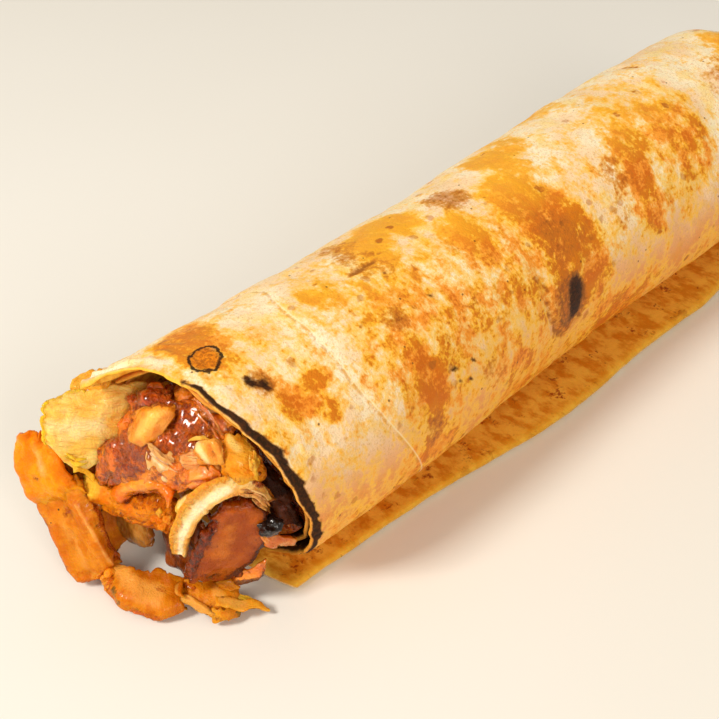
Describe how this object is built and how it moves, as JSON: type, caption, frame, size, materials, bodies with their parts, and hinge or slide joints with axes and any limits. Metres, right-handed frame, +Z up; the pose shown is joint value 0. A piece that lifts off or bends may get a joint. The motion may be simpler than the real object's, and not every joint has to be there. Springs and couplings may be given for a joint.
{
  "type": "doner wrap",
  "caption": "Toasted flatbread rolled round sliced saucy chicken, lying on its loose flap, with slices spilling from the open mouth.",
  "frame": {"origin": "on the flat underside, halfway along the roll, where the loose flap meets the roll", "axes": "+X along the roll from the open mouth to the far end, -Y towards the loose flap's edge, +Z up"},
  "size_m": [0.2474, 0.0612, 0.0546],
  "materials": {
    "bread": "dry toasted flatbread, oily where sauce has soaked in",
    "pale_chicken": "moist cut meat, pale with yellow edges",
    "golden_chicken": "moist marinated meat, golden orange with browned edges",
    "sauced_chicken": "meat in glossy red-brown sauce",
    "char": "black charred crust with an oily sheen"
  },
  "bodies": {
    "root": {"flatbread": "bread", "front_slice_left": "golden_chicken", "front_slice_right": "golden_chicken", "hanging_slice": "golden_chicken", "curled_slice": "golden_chicken", "ledge_slice": "golden_chicken", "orange_band": "golden_chicken", "pale_strip": "pale_chicken", "glazed_slice": "sauced_chicken", "right_slice": "golden_chicken", "top_flap_slice": "golden_chicken", "breast_slice": "pale_chicken", "sauced_chunk_left": "sauced_chicken", "pale_chunk": "pale_chicken", "rolled_chunk": "pale_chicken", "sauced_chunk_upper": "sauced_chicken", "char_bit": "char", "small_strip": "golden_chicken", "hollow_slice": "sauced_chicken", "standing_slice": "sauced_chicken", "right_shreds": "sauced_chicken", "filling_core": "golden_chicken"}
  },
  "joints": []
}
